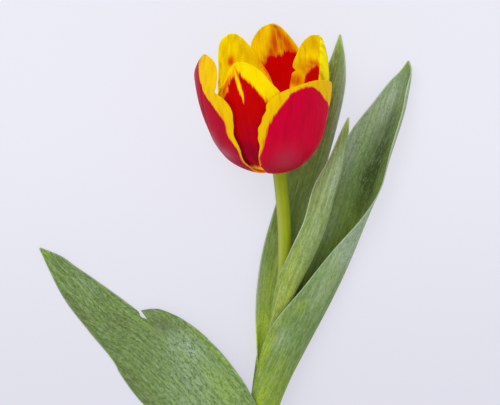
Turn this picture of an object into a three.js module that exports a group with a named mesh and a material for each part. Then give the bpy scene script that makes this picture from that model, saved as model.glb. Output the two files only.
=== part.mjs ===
// A cut tulip with its leaves, lying on a flat surface. Millimetres, +Z up.
// The stem runs along +Y to the flower, whose mouth is lifted off the surface.
// The origin is on the surface, under the middle of the whole flower and leaves.
//
// Every blade is a thin closed shell: a grid of points gives its middle surface,
// and both faces lie half a thickness away from it along the surface normal.
import * as THREE from 'three'

// ---- driving dimensions ------------------------------------------------------
const STEM_RADIUS = 3.0
const STEM_SIDES = 12
const STEM_RINGS = 34
const LEAF_THICKNESS = 0.9
const TEPAL_THICKNESS = 0.7
const SEAT_GAP = 0.3

// The stem's centre line, from the cut end to just under the flower.
const STEM_PATH = [
  [13.5, -130.0, 2.99], [13.5, -105.0, 4.6], [14.0, -84.5, 6.4], [15.5, -62.0, 7.3],
  [17.0, -40.0, 7.6], [20.5, -15.5, 7.8], [24.0, 2.5, 7.8], [26.0, 16.0, 7.8],
  [26.5, 29.5, 8.2], [26.2, 42.5, 10.0], [25.1, 54.5, 13.0], [23.9, 64.7, 16.5],
]

// The flower's foot on the stem, and the way its axis points: it leans to the
// left of +Y and is lifted off the surface.
const FLOWER_FOOT = new THREE.Vector3(24.0, 65.7, 16.97)
const FLOWER_LEAN = 4.0
const FLOWER_LIFT = 20.5
// The cup bulges to one side of its foot by this much.
const CUP_SHIFT = -4.0
const CUP_SHIFT_RATE = 8.0

// The receptacle is the stem's swollen top: a step under the outer tepals and a
// short column inside them. Heights are along the flower's axis from its foot.
const RECEPTACLE_RADIUS = 4.3
const RECEPTACLE_TOP = -0.65
const RECEPTACLE_LENGTH = 3.0
const COLUMN_RADIUS = 3.3
const COLUMN_TOP = 0.88

// Half the cup's section: height along the axis, distance from the axis.
const CUP_PROFILE = [
  [0, 4.0], [2.0, 11.5], [7.0, 18.5], [14.0, 23.1], [22.5, 25.9],
  [31.0, 28.0], [39.5, 29.0], [48.0, 29.0], [56.5, 28.0], [65.0, 26.2],
]
// The inner three tepals stand this far inside the outer three, and their feet
// reach further in over the column.
const WHORL_STEP = 1.6
const INNER_FOOT_REACH = 0.45
const FOOT_ZONE = 9

// Tepals: azimuth round the axis at the foot and at the tip (0 faces up from the
// surface, 90 is to the right), how far up the cup's section the tip reaches, and
// how many degrees each margin stands from the middle line at even steps from the
// foot to the tip. lean moves the tip outwards. tuck rolls the first margin inwards
// by so many millimetres, from TUCK_START of the way up to TUCK_FULL and above.
const TEPALS = [
  {
    name: 'tepal_outer_front_right', azimuth: [42, 38.5], reach: 0.742, whorl: 'outer',
    minus: [52, 53.6, 54.7, 55.1, 54.2, 50.4, 50.6, 48.6, 42.8, 44.3, 47.4],
    plus: [50.1, 51.5, 52.9, 54.4, 55.6, 56.4, 56.4, 54.7, 52, 46.3, 34.3], lean: -0.3, blunt: 12,
  },
  {
    name: 'tepal_outer_back', azimuth: [166, 168.4], reach: 0.913, whorl: 'outer',
    minus: [50, 52.3, 54.1, 54.8, 54.1, 52.1, 47.5, 37.9, 27.2, 20.3, 14.6],
    plus: [50, 52.3, 54.1, 54.8, 53.8, 50.7, 44.9, 34.5, 25, 24, 21.7], lean: 0, blunt: 10,
  },
  {
    name: 'tepal_outer_left', azimuth: [-84, -59.2], reach: 0.914, whorl: 'outer',
    minus: [50, 50, 50, 48, 46.2, 44.7, 41.3, 35.7, 26.9, 18.5, 12],
    plus: [46.5, 50, 50, 43, 42.2, 37.5, 37.3, 34.9, 21.4, 22.6, 26], lean: 1.1, blunt: 10,
  },
  {
    name: 'tepal_inner_front', azimuth: [-15, -22.4], reach: 0.898, whorl: 'inner',
    minus: [47.9, 48.1, 47.8, 46.4, 44.3, 42, 39, 33.5, 26.4, 17.9, 15.8],
    plus: [50, 50, 50, 50.4, 49.8, 47.1, 43.2, 39.1, 34.7, 27.3, 25.1], lean: 0, blunt: 10,
  },
  {
    name: 'tepal_inner_left', azimuth: [220, 210.9], reach: 0.89, whorl: 'inner',
    minus: [50, 50, 50, 50.4, 50, 47.8, 43.9, 38, 30.2, 23.6, 17.9],
    plus: [50.2, 48.5, 45.9, 41.2, 34.7, 26.3, 18.8, 15.6, 13.7, 15, 20.5], lean: 0, blunt: 10,
  },
  {
    name: 'tepal_inner_right', azimuth: [100, 110.5], reach: 0.891, whorl: 'inner',
    minus: [42, 42, 42, 42, 41.5, 40.5, 38.5, 37, 35.5, 33, 31],
    plus: [48.3, 48.9, 49.1, 48.9, 48.5, 48.3, 48, 45, 41.8, 38.2, 35], lean: 0.5, blunt: 10,
    tuck: 4.0,
  },
]
const TEPAL_ROWS = 14
// Half the width left at a tepal's very tip.
const TIP_HALF_WIDTH = 0.35
const TEPAL_COLUMNS = 11
const TUCK_START = 0.62
const TUCK_FULL = 0.76

// Leaves: a row for each station from the foot to the tip, holding
// midrib x, y, z, then width, lift and curl of the left half-blade, then of the
// right one. A half-blade leaves the midrib at its lift angle above level and
// bends through its curl angle on the way to its margin.
const LEAVES = [
  {
    name: 'leaf_lowest', rows: 24, columns: 11,
    stations: [
      [11.75, -82.0, 9.95, 9.0, -34, -122, 13.4, 34, -178],
      [10.4, -67.5, 12.4, 9.6, -34, -96, 13.6, 38, -105],
      [3.6, -55.5, 12.5, 13.6, -18, -34, 17.3, 25, -33],
      [-8.0, -41.0, 8.2, 19.3, -12, -14, 20.0, 15, -14],
      [-22.5, -25.0, 4.6, 21.5, -8, -8, 18.9, 9, -12],
      [-37.5, -11.0, 2.2, 18.0, -4, -6, 12.5, 5, -10],
      [-53.5, -1.0, 0.7, 10.5, 0, -4, 10.2, 4, -8],
      [-68.0, 14.0, 0.4, 7.7, 0, -4, 7.3, 3, -6],
      [-83.5, 30.0, 1.2, 0.4, 0, 0, 0.4, 0, 0],
    ],
    notch: { at: 0.655, halfLength: 0.012, depth: 3.0, lobe: 3.4, lobeLength: 0.2 },
  },
  {
    name: 'leaf_large', rows: 26, columns: 15,
    stations: [
      [18.5, -62.5, 4.6, 10.6, -45, 150, 11.7, 45, 165],
      [21.6, -40.5, 3.1, 12.2, -42, 97, 23.5, 45, 207],
      [35.0, -16.5, 1.4, 21.0, -6, 12, 27.0, 88, 112],
      [47.2, 6.5, 0.6, 17.3, 0, 15, 21.3, 86, 108],
      [56.0, 25.5, 0.4, 18.5, 0, 20, 16.0, 80, 100],
      [62.5, 44.5, 0.6, 18.6, 0, 20, 12.2, 65, 60],
      [66.5, 60.5, 1.4, 18.1, 0, 20, 10.2, 50, 35],
      [73.2, 76.5, 2.6, 18.3, 0, 20, 9.1, 50, 65],
      [78.6, 93.0, 3.4, 12.3, 0, 20, 7.0, 40, 88],
      [82.0, 105.5, 4.0, 6.9, 0, 20, 2.9, 30, 120],
      [82.0, 114.0, 4.0, 0.4, 0, 0, 0.4, 0, 0],
    ],
  },
  {
    name: 'leaf_small', rows: 20, columns: 11,
    stations: [
      [24.0, -13.0, 10.2, 5.0, 52, -62, 3.0, -52, -44],
      [26.6, -1.0, 10.3, 6.9, 48, -62, 3.4, -50, -50],
      [30.5, 12.5, 12.2, 8.4, 30, -50, 5.0, -35, -75],
      [36.0, 26.0, 14.0, 8.0, 15, -40, 5.2, -20, -75],
      [41.5, 40.0, 15.5, 7.2, 12, -35, 5.2, -15, -70],
      [46.0, 54.5, 16.5, 7.6, 12, -35, 4.2, -20, -60],
      [50.0, 67.5, 17.0, 5.0, 12, -30, 3.4, -20, -60],
      [52.5, 79.0, 17.0, 2.6, 10, -30, 2.3, -20, -50],
      [54.5, 88.0, 17.0, 0.4, 0, 0, 0.4, 0, 0],
    ],
  },
  {
    name: 'leaf_tall', rows: 24, columns: 9,
    stations: [
      [16.9, -42.0, 3.65, 6.4, 0, 86, 5.9, 0, 86],
      [19.6, -22.5, 3.75, 7.8, 0, 80, 6.0, 0, 80],
      [22.0, -4.5, 3.5, 9.7, 0, 52, 5.2, 0, 52],
      [23.2, 11.0, 3.0, 9.9, 0, 38, 5.0, 0, 40],
      [26.0, 27.0, 2.2, 10.0, 0, 30, 6.0, 0, 30],
      [30.0, 45.0, 1.6, 8.8, 0, 25, 8.0, 0, 25],
      [35.5, 64.0, 1.4, 8.0, 0, 20, 8.5, 0, 20],
      [41.5, 83.0, 1.4, 7.5, 0, 15, 8.0, 0, 20],
      [47.0, 102.0, 1.4, 5.2, 0, 10, 6.7, 0, 15],
      [50.0, 114.5, 1.4, 2.9, 0, 8, 3.9, 0, 10],
      [51.5, 126.0, 1.4, 0.4, 0, 0, 0.4, 0, 0],
    ],
  },
]

// Pistil: height and mean radius of each ring, and how far its three lobes stand
// out. Stamens stand in a ring round it.
const PISTIL_RINGS = [
  { height: 0, radius: 1.1, lobes: 0.05 }, { height: 3, radius: 1.8, lobes: 0.08 },
  { height: 9, radius: 2.9, lobes: 0.1 }, { height: 15, radius: 2.7, lobes: 0.12 },
  { height: 19, radius: 2.1, lobes: 0.2 }, { height: 21, radius: 2.7, lobes: 0.42 },
  { height: 22.6, radius: 3.1, lobes: 0.5 }, { height: 23.8, radius: 2.2, lobes: 0.45 },
]
const PISTIL_SIDES = 18
const STAMENS = 6
const FILAMENT_FOOT_RADIUS = 2.05
const FILAMENT_SPLAY = 0.26
const FILAMENT_LENGTH = 10.5
const FILAMENT_RADIUS = 0.45
const FILAMENT_SIDES = 6
const ANTHER_LENGTH = 12.0
const ANTHER_RADIUS = 1.35
const ANTHER_SIDES = 8
// An anther's radius from its foot to its tip, as a share of its full radius.
const ANTHER_SHAPE = [0.45, 0.95, 1, 0.95, 0.5]

// ---- colours and finishes ----------------------------------------------------
const FINISHES = {
  stem: { color: 0x96a347, roughness: 0.5 },
  leaf: { color: 0x6f8c4e, roughness: 0.55 },
  tepalOuter: { color: 0xb3143c, roughness: 0.45 },
  tepalInner: { color: 0xe0a010, roughness: 0.45 },
  pistil: { color: 0xb9c06a, roughness: 0.5 },
  filament: { color: 0x3a2a30, roughness: 0.6 },
  anther: { color: 0x2a1c2c, roughness: 0.8 },
}

// ---- helpers -----------------------------------------------------------------
const radians = THREE.MathUtils.degToRad
const clamp = THREE.MathUtils.clamp
const evenly = (count) => Array.from({ length: count }, (_, i) => i / (count - 1))

// A smooth curve through evenly spaced rows of numbers (Catmull-Rom): t runs from
// 0 at the first row to 1 at the last, and both ends carry straight on.
function smooth(rows, t) {
  const last = rows.length - 1
  const x = clamp(t, 0, 1) * last
  const i = Math.min(Math.floor(x), last - 1)
  const f = x - i
  const before = (k) => (i > 0 ? rows[i - 1][k] : 2 * rows[0][k] - rows[1][k])
  const after = (k) => (i + 2 <= last ? rows[i + 2][k] : 2 * rows[last][k] - rows[last - 1][k])
  return rows[i].map((_, k) => {
    const [a, b, c, d] = [before(k), rows[i][k], rows[i + 1][k], after(k)]
    const square = (2 * a - 5 * b + 4 * c - d) * f * f
    const cube = (3 * b - a - 3 * c + d) * f * f * f
    return 0.5 * (2 * b + (c - a) * f + square + cube)
  })
}

const smoothValue = (values, t) => smooth(values.map((value) => [value]), t)[0]

// The chord of an arc of the given length that starts at angle lift and bends
// through angle curl, as [distance across, distance up].
function arcChord(length, lift, curl) {
  const half = curl / 2
  const chord = Math.abs(half) < 1e-6 ? length : (length * Math.sin(half)) / half
  return [chord * Math.cos(lift + half), chord * Math.sin(lift + half)]
}

// Turns a body inside out where its faces point inwards.
function outwards(positions, indices) {
  const corner = (i) => new THREE.Vector3().fromArray(positions, 3 * i)
  let volume = 0
  for (let i = 0; i < indices.length; i += 3) {
    const [a, b, c] = [corner(indices[i]), corner(indices[i + 1]), corner(indices[i + 2])]
    volume += a.dot(b.cross(c))
  }
  if (volume < 0) indices.reverse()
  const geometry = new THREE.BufferGeometry()
  geometry.setAttribute('position', new THREE.Float32BufferAttribute(positions, 3))
  geometry.setIndex(indices)
  geometry.computeVertexNormals()
  return geometry
}

// A closed shell round a grid of points: grid[row][column] are Vector3s.
function shell(grid, thickness) {
  const rows = grid.length
  const columns = grid[0].length
  const at = (r, c) => grid[clamp(r, 0, rows - 1)][clamp(c, 0, columns - 1)]
  const positions = []
  for (const side of [0.5, -0.5]) {
    for (let r = 0; r < rows; r++) {
      for (let c = 0; c < columns; c++) {
        const across = at(r, c + 1).clone().sub(at(r, c - 1))
        const along = at(r + 1, c).clone().sub(at(r - 1, c))
        const normal = across.cross(along).normalize()
        positions.push(...at(r, c).clone().addScaledVector(normal, side * thickness).toArray())
      }
    }
  }
  const top = (r, c) => r * columns + c
  const bottom = (r, c) => rows * columns + top(r, c)
  const indices = []
  const quad = (a, b, c, d) => indices.push(a, b, c, a, c, d)
  for (let r = 0; r < rows - 1; r++) {
    for (let c = 0; c < columns - 1; c++) {
      quad(top(r, c), top(r, c + 1), top(r + 1, c + 1), top(r + 1, c))
      indices.push(bottom(r, c), bottom(r + 1, c + 1), bottom(r, c + 1))
      indices.push(bottom(r, c), bottom(r + 1, c), bottom(r + 1, c + 1))
    }
    quad(bottom(r, 0), top(r, 0), top(r + 1, 0), bottom(r + 1, 0))
    const e = columns - 1
    quad(top(r, e), bottom(r, e), bottom(r + 1, e), top(r + 1, e))
  }
  for (let c = 0; c < columns - 1; c++) {
    const e = rows - 1
    quad(top(0, c), bottom(0, c), bottom(0, c + 1), top(0, c + 1))
    quad(bottom(e, c), top(e, c), top(e, c + 1), bottom(e, c + 1))
  }
  return outwards(positions, indices)
}

// A closed body through rings of points, with a flat fan at each end.
function loft(rings) {
  const sides = rings[0].length
  const middle = (ring) => ring.reduce((sum, p) => sum.add(p), new THREE.Vector3()).divideScalar(sides)
  const positions = rings.flat().flatMap((p) => p.toArray())
  const first = positions.length / 3
  positions.push(...middle(rings[0]).toArray(), ...middle(rings[rings.length - 1]).toArray())
  const indices = []
  const lastRing = (rings.length - 1) * sides
  for (let s = 0; s < sides; s++) {
    const n = (s + 1) % sides
    for (let r = 0; r < rings.length - 1; r++) {
      const [a, b] = [r * sides, (r + 1) * sides]
      indices.push(a + s, a + n, b + n, a + s, b + n, b + s)
    }
    indices.push(first, n, s, first + 1, lastRing + s, lastRing + n)
  }
  return outwards(positions, indices)
}

// A ring of points round centre, in the plane of the two unit vectors.
function ring(centre, u, w, sides, radiusAt) {
  return Array.from({ length: sides }, (_, s) => {
    const angle = (2 * Math.PI * s) / sides
    const radius = radiusAt(angle)
    return centre.clone()
      .addScaledVector(u, radius * Math.cos(angle))
      .addScaledVector(w, radius * Math.sin(angle))
  })
}

// ---- the flower's own frame: axis, up from the surface, and right -------------
const lean = radians(FLOWER_LEAN)
const lift = radians(FLOWER_LIFT)
const AXIS = new THREE.Vector3(
  -Math.sin(lean) * Math.cos(lift), Math.cos(lean) * Math.cos(lift), Math.sin(lift),
)
const FRONT = new THREE.Vector3(0, 0, 1).addScaledVector(AXIS, -AXIS.z).normalize()
const RIGHT = new THREE.Vector3().crossVectors(AXIS, FRONT)

// A point at a height, distance and azimuth round the flower's axis.
function flowerPoint(height, distance, azimuth, shift = 0) {
  return FLOWER_FOOT.clone()
    .addScaledVector(AXIS, height)
    .addScaledVector(RIGHT, distance * Math.sin(azimuth) + shift)
    .addScaledVector(FRONT, distance * Math.cos(azimuth))
}

// ---- sub-parts ---------------------------------------------------------------
function leafGrid({ stations, rows, columns, notch }) {
  const steps = evenly(rows)
  if (notch) {
    const { at, halfLength } = notch
    steps.push(at - halfLength, at, at + halfLength)
    steps.sort((a, b) => a - b)
  }
  return steps.map((t) => {
    const [x, y, z, leftWidth, leftLift, leftCurl, rightWidth, rightLift, rightCurl] = smooth(stations, t)
    const ahead = new THREE.Vector3().fromArray(smooth(stations, t + 1e-3))
    const behind = new THREE.Vector3().fromArray(smooth(stations, t - 1e-3))
    const along = ahead.sub(behind).normalize()
    const across = new THREE.Vector3().crossVectors(along, new THREE.Vector3(0, 0, 1)).normalize()
    const up = new THREE.Vector3().crossVectors(across, along)
    let rightFull = rightWidth
    if (notch) {
      const { at, halfLength, depth, lobe, lobeLength } = notch
      if (t < at) rightFull += lobe * Math.exp(-(((at - t) / lobeLength) ** 2))
      rightFull -= depth * clamp(1 - Math.abs(t - at) / halfLength, 0, 1)
    }
    return evenly(columns).map((c) => {
      const u = 2 * c - 1
      const [width, liftAngle, curl] = u < 0
        ? [leftWidth, leftLift, leftCurl]
        : [rightFull, rightLift, rightCurl]
      const part = Math.abs(u)
      const [out, rise] = arcChord(part * width, radians(liftAngle), radians(curl * part))
      const point = new THREE.Vector3(x, y, z)
        .addScaledVector(across, Math.sign(u) * out)
        .addScaledVector(up, rise)
      point.z = Math.max(point.z, LEAF_THICKNESS / 2)
      return point
    })
  })
}

// The cup's section, stepped inwards along its normal for the inner whorl.
function cupPoint(reach, inset) {
  const [height, distance] = smooth(CUP_PROFILE, reach)
  const ahead = smooth(CUP_PROFILE, reach + 1e-3)
  const behind = smooth(CUP_PROFILE, reach - 1e-3)
  const run = Math.hypot(ahead[0] - behind[0], ahead[1] - behind[1])
  const foot = (inset / WHORL_STEP) * INNER_FOOT_REACH * Math.max(0, 1 - FOOT_ZONE * reach)
  return [
    height + (inset * (ahead[1] - behind[1])) / run,
    distance - (inset * (ahead[0] - behind[0])) / run - foot,
  ]
}

function tepalGrid({ azimuth, reach, whorl, minus, plus, lean: outward, blunt, tuck = 0 }) {
  const inset = whorl === 'inner' ? WHORL_STEP : 0
  return evenly(TEPAL_ROWS).map((t) => {
    const v = 0.35 * t + 0.65 * Math.sin((Math.PI / 2) * t ** 0.9)
    const closing = Math.sqrt(Math.max(0, 1 - v ** blunt))
    const [height, distance] = cupPoint(v * reach, inset)
    const shift = CUP_SHIFT * (1 - Math.exp(-CUP_SHIFT_RATE * v * reach))
    const middle = azimuth[0] + (azimuth[1] - azimuth[0]) * v
    const rolled = tuck * closing * THREE.MathUtils.smoothstep(v, TUCK_START, TUCK_FULL)
    return evenly(TEPAL_COLUMNS).map((c) => {
      const u = 2 * c - 1
      const spread = smoothValue(u < 0 ? minus : plus, v) * closing
      const angle = radians(middle + u * spread) + (u * v * TIP_HALF_WIDTH) / distance
      const inwards = rolled * clamp(-1 - 2 * u, 0, 1) ** 1.5
      return flowerPoint(height, distance + outward * v ** 1.5 - inwards, angle, shift)
    })
  })
}

function stemBody() {
  const points = STEM_PATH.map((p) => new THREE.Vector3().fromArray(p))
  const length = points.reduce((sum, p, i) => sum + (i ? p.distanceTo(points[i - 1]) : 0), 0)
  const rings = evenly(STEM_RINGS).map((t) => {
    const centre = new THREE.Vector3().fromArray(smooth(STEM_PATH, t))
    const ahead = new THREE.Vector3().fromArray(smooth(STEM_PATH, t + 1e-3))
    const behind = new THREE.Vector3().fromArray(smooth(STEM_PATH, t - 1e-3))
    const along = ahead.sub(behind).normalize()
    const u = new THREE.Vector3().crossVectors(along, new THREE.Vector3(0, 0, 1)).normalize()
    const w = new THREE.Vector3().crossVectors(u, along)
    const swell = clamp(1 - ((1 - t) * length) / RECEPTACLE_LENGTH, 0, 1) ** 2
    const radius = STEM_RADIUS + 0.7 * (RECEPTACLE_RADIUS - STEM_RADIUS) * swell
    return ring(centre, u, w, STEM_SIDES, () => radius)
  })
  const onAxis = (height, radius) => ring(flowerPoint(height, 0, 0), RIGHT, FRONT, STEM_SIDES, () => radius)
  rings.push(onAxis(RECEPTACLE_TOP, RECEPTACLE_RADIUS))
  rings.push(onAxis(RECEPTACLE_TOP, COLUMN_RADIUS))
  rings.push(onAxis(COLUMN_TOP, COLUMN_RADIUS))
  return loft(rings)
}

function pistilBody() {
  return loft(PISTIL_RINGS.map(({ height, radius, lobes }) => ring(
    flowerPoint(COLUMN_TOP + SEAT_GAP + height, 0, 0), RIGHT, FRONT, PISTIL_SIDES,
    (angle) => radius * (1 + lobes * Math.cos(3 * angle)),
  )))
}

// A filament or an anther: a tapered rod along a stamen's own slanting line, from
// one distance along that line to another.
function stamenRod(index, from, to, sides, radii) {
  const azimuth = (2 * Math.PI * (index + 0.5)) / STAMENS
  const along = (s) => {
    const height = COLUMN_TOP + SEAT_GAP + s * Math.cos(FILAMENT_SPLAY)
    return flowerPoint(height, FILAMENT_FOOT_RADIUS + s * Math.sin(FILAMENT_SPLAY), azimuth)
  }
  const outward = flowerPoint(0, 1, azimuth).sub(FLOWER_FOOT)
  const sideways = new THREE.Vector3().crossVectors(AXIS, outward)
  return loft(radii.map((radius, i) => ring(
    along(from + ((to - from) * i) / (radii.length - 1)), outward, sideways, sides, () => radius,
  )))
}

// ---- the whole tulip ---------------------------------------------------------
const tulip = new THREE.Group()

function add(name, geometry, finish) {
  const mesh = new THREE.Mesh(geometry, new THREE.MeshStandardMaterial({ metalness: 0, ...FINISHES[finish] }))
  mesh.name = name
  tulip.add(mesh)
}

add('stem', stemBody(), 'stem')
for (const leaf of LEAVES) add(leaf.name, shell(leafGrid(leaf), LEAF_THICKNESS), 'leaf')
for (const tepal of TEPALS) {
  add(tepal.name, shell(tepalGrid(tepal), TEPAL_THICKNESS), tepal.whorl === 'outer' ? 'tepalOuter' : 'tepalInner')
}
add('pistil', pistilBody(), 'pistil')
for (let i = 0; i < STAMENS; i++) {
  const antherFoot = FILAMENT_LENGTH + SEAT_GAP
  add(
    `filament_${i + 1}`,
    stamenRod(i, 0, FILAMENT_LENGTH, FILAMENT_SIDES, [FILAMENT_RADIUS, FILAMENT_RADIUS, 0.6 * FILAMENT_RADIUS]),
    'filament',
  )
  add(
    `anther_${i + 1}`,
    stamenRod(i, antherFoot, antherFoot + ANTHER_LENGTH, ANTHER_SIDES, ANTHER_SHAPE.map((k) => k * ANTHER_RADIUS)),
    'anther',
  )
}

export default tulip
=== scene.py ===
# %% [markdown]
# # A cut tulip, built from surfaces
#
# The flower is a smooth-petalled single tulip, red with a golden margin, lying on
# a pale table with its four leaves. Nearly all of it is thin curved sheets, six
# tepals and four leaves, so most of this lesson is one idea: a surface is a
# function of two numbers, u across the sheet and v along it, worked out for a
# whole grid of points at once and then closed into a thin shell. The frame holds
# the plain solids, and each piece here stands for one of them.
# %% Load the frame
import math

import bmesh
import bpy
import numpy as np
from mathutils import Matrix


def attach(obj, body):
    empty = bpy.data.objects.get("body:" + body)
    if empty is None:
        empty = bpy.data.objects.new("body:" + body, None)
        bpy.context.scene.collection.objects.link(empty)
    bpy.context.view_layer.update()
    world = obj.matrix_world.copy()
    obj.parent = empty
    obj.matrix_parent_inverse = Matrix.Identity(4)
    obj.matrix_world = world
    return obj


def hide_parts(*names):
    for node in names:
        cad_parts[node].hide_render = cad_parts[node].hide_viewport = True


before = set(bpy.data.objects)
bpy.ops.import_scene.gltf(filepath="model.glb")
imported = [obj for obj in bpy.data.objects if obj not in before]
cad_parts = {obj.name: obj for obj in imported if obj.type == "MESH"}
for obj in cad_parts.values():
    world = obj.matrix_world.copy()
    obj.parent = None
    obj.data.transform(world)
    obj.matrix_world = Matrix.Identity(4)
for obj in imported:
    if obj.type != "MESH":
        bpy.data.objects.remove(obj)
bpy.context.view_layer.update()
MM = 0.001
print("solids in the frame:", len(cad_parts))

# %% [markdown]
# ## Curves through a few numbers
#
# A petal's outline or a stem's path could be drawn with Bezier handles, but a few
# evenly spaced numbers are easier to read and change. A Catmull-Rom curve passes
# through each of them, be it a plain number or a point in space.
# %% Smooth curves


def smooth(rows, t):
    """Catmull-Rom curve through evenly spaced rows, at t from 0 to 1.

    Between rows b and c, with neighbours a and d and a share f of the way, it is
    half of 2b + (c - a)f + (2a - 5b + 4c - d)f^2 + (3b - a - 3c + d)f^3.
    """
    rows = np.asarray(rows, float)
    rows = rows.reshape(len(rows), -1)
    padded = np.vstack([2 * rows[0] - rows[1], rows, 2 * rows[-1] - rows[-2]])
    place = np.clip(np.asarray(t, float), 0, 1) * (len(rows) - 1)
    first = np.minimum(place.astype(int), len(rows) - 2)
    f = (place - first)[..., None]
    a, b, c, d = (padded[first + k] for k in range(4))
    square = (2 * a - 5 * b + 4 * c - d) * f ** 2
    cube = (3 * b - a - 3 * c + d) * f ** 3
    return 0.5 * (2 * b + (c - a) * f + square + cube)


def curve(values, t):
    """The same curve for a list of plain numbers."""
    return smooth(values, t)[..., 0]


def unit(vectors):
    """Vectors divided by their own lengths."""
    return vectors / np.linalg.norm(vectors, axis=-1, keepdims=True)


def heading(rows, t, step=1e-3):
    """Direction of the curve at t: the unit vector from a step before to a step after."""
    return unit(smooth(rows, t + step) - smooth(rows, t - step))


def bump(x, centre, width):
    """A soft hill: e to the minus square of the distance in widths."""
    return np.exp(-(((x - centre) / width) ** 2))


def ramp(x, low, high):
    """0 below low, 1 above high, and 3s^2 - 2s^3 between them."""
    s = np.clip((x - low) / (high - low), 0, 1)
    return s * s * (3 - 2 * s)


print("halfway along 0, 1, 4 and 9:", curve([0, 1, 4, 9], 0.5).round(3))

# %% [markdown]
# ## From points to a mesh
#
# A mesh could be modelled by hand or grown from a primitive. A surface worked out
# as arrays is handed over whole: foreach_set copies its points, its faces and the
# numbers kept on its points in a few calls. Each piece then takes the place of the
# plain solid that it stands for.
# %% Mesh and piece


def new_object(name, data):
    """An object at the origin, put in the scene."""
    made = bpy.data.objects.new(name, data)
    bpy.context.scene.collection.objects.link(made)
    return made


def mesh_object(name, points, faces, attributes, uv):
    """Points in millimetres and quads become a smooth mesh.

    The sum of a . (b x c) over the quads' first three corners is negative when the
    faces look inwards, and then they are turned round.
    """
    a, b, c = (points[faces[:, k]] for k in range(3))
    if np.einsum("ij,ij->", a, np.cross(b, c)) < 0:
        faces = faces[:, ::-1]
    mesh = bpy.data.meshes.new(name)
    mesh.vertices.add(len(points))
    mesh.vertices.foreach_set("co", (points * MM).ravel())
    mesh.loops.add(faces.size)
    mesh.loops.foreach_set("vertex_index", faces.ravel())
    mesh.polygons.add(len(faces))
    mesh.polygons.foreach_set("loop_start", np.arange(0, faces.size, 4))
    mesh.polygons.foreach_set("loop_total", np.full(len(faces), 4))
    mesh.polygons.foreach_set("use_smooth", np.ones(len(faces), bool))
    for key, values in attributes.items():
        layer = mesh.attributes.new(key, "FLOAT", "POINT")
        layer.data.foreach_set("value", np.ascontiguousarray(values, np.float32).ravel())
    layer = mesh.uv_layers.new(name="blade")
    layer.data.foreach_set("uv", uv[faces.ravel()].astype(np.float32).ravel())
    mesh.update()
    mesh.validate()
    return new_object(name, mesh)


def stand_in(piece, node):
    """The piece rides on the one body and takes its node's place."""
    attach(piece, "root")
    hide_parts(node)
    return piece


def print_sizes(pieces):
    """Each piece's box in millimetres."""
    for name, piece in pieces.items():
        print(name, "measures", (np.array(piece.dimensions) / MM).round(1), "mm")


# %% [markdown]
# ## Closing a sheet into a shell
#
# A petal is less than a millimetre thick, and thinner still at its margin. The
# Solidify modifier would thicken a grid, but with square edges. Here both faces are
# placed half a thickness to each side of the middle surface, with a thin
# rim between them.
# %% Sheets


def normals_of(grid):
    """Unit normals of a grid: the slope across it crossed with the slope along it."""
    return unit(np.cross(np.gradient(grid, axis=1), np.gradient(grid, axis=0)))


def sheet_object(name, grid, normals, thickness, fields, uv):
    """A closed shell round a grid of points.

    Both faces are the grid moved half a thickness along its normals. A field is a
    pair of grids of numbers, for the face that the normals point out of and for
    the other one, and "face" is 1 on the first of them and 0 on the other.
    """
    rows, columns = grid.shape[:2]
    offset = normals * (thickness / 2)[..., None]
    points = np.concatenate([(grid + offset).reshape(-1, 3), (grid - offset).reshape(-1, 3)])
    index = np.arange(rows * columns).reshape(rows, columns)
    a, b, c, d = index[:-1, :-1], index[:-1, 1:], index[1:, 1:], index[1:, :-1]
    front = np.stack([a, b, c, d], -1).reshape(-1, 4)
    back = front[:, ::-1] + rows * columns
    loop = np.concatenate([index[0], index[1:, -1], index[-1, -2::-1], index[-2:0:-1, 0]])
    ahead = np.roll(loop, -1)
    rim = np.stack([ahead, loop, loop + rows * columns, ahead + rows * columns], -1)
    faces = np.concatenate([front, back, rim])
    both = {key: np.concatenate([f.ravel(), g.ravel()]) for key, (f, g) in fields.items()}
    both["face"] = np.repeat([1.0, 0.0], rows * columns)
    return mesh_object(name, points, faces, both, np.tile(uv.reshape(-1, 2), (2, 1)))


# %% [markdown]
# ## The flower's own frame
#
# The flower leans to the left of the stem's line and lifts its mouth off the
# table. A cup is easier to shape round its own axis, so every point of it is
# given as a height along the axis, a distance from it and a turn round it. Turn 0
# faces up from the table and 90 degrees is to the right.
# %% Flower frame
FOOT = np.array([24.0, 65.7, 16.97])
LEAN, LIFT = math.radians(4.0), math.radians(20.5)
AXIS = np.array([-math.sin(LEAN) * math.cos(LIFT), math.cos(LEAN) * math.cos(LIFT), math.sin(LIFT)])
FRONT = unit(np.array([0, 0, 1.0]) - AXIS[2] * AXIS)
RIGHT = np.cross(AXIS, FRONT)
CUP_SHIFT, CUP_SHIFT_RATE = -4.0, 8.0


def flower_points(height, distance, turn, shift=0.0):
    """Foot + height along the axis + distance towards the turn's direction."""
    height, distance, turn, shift = np.broadcast_arrays(height, distance, turn, shift)
    sideways = (distance * np.sin(turn) + shift)[..., None] * RIGHT
    return FOOT + height[..., None] * AXIS + sideways + (distance * np.cos(turn))[..., None] * FRONT


print("flower axis:", AXIS.round(3))

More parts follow.
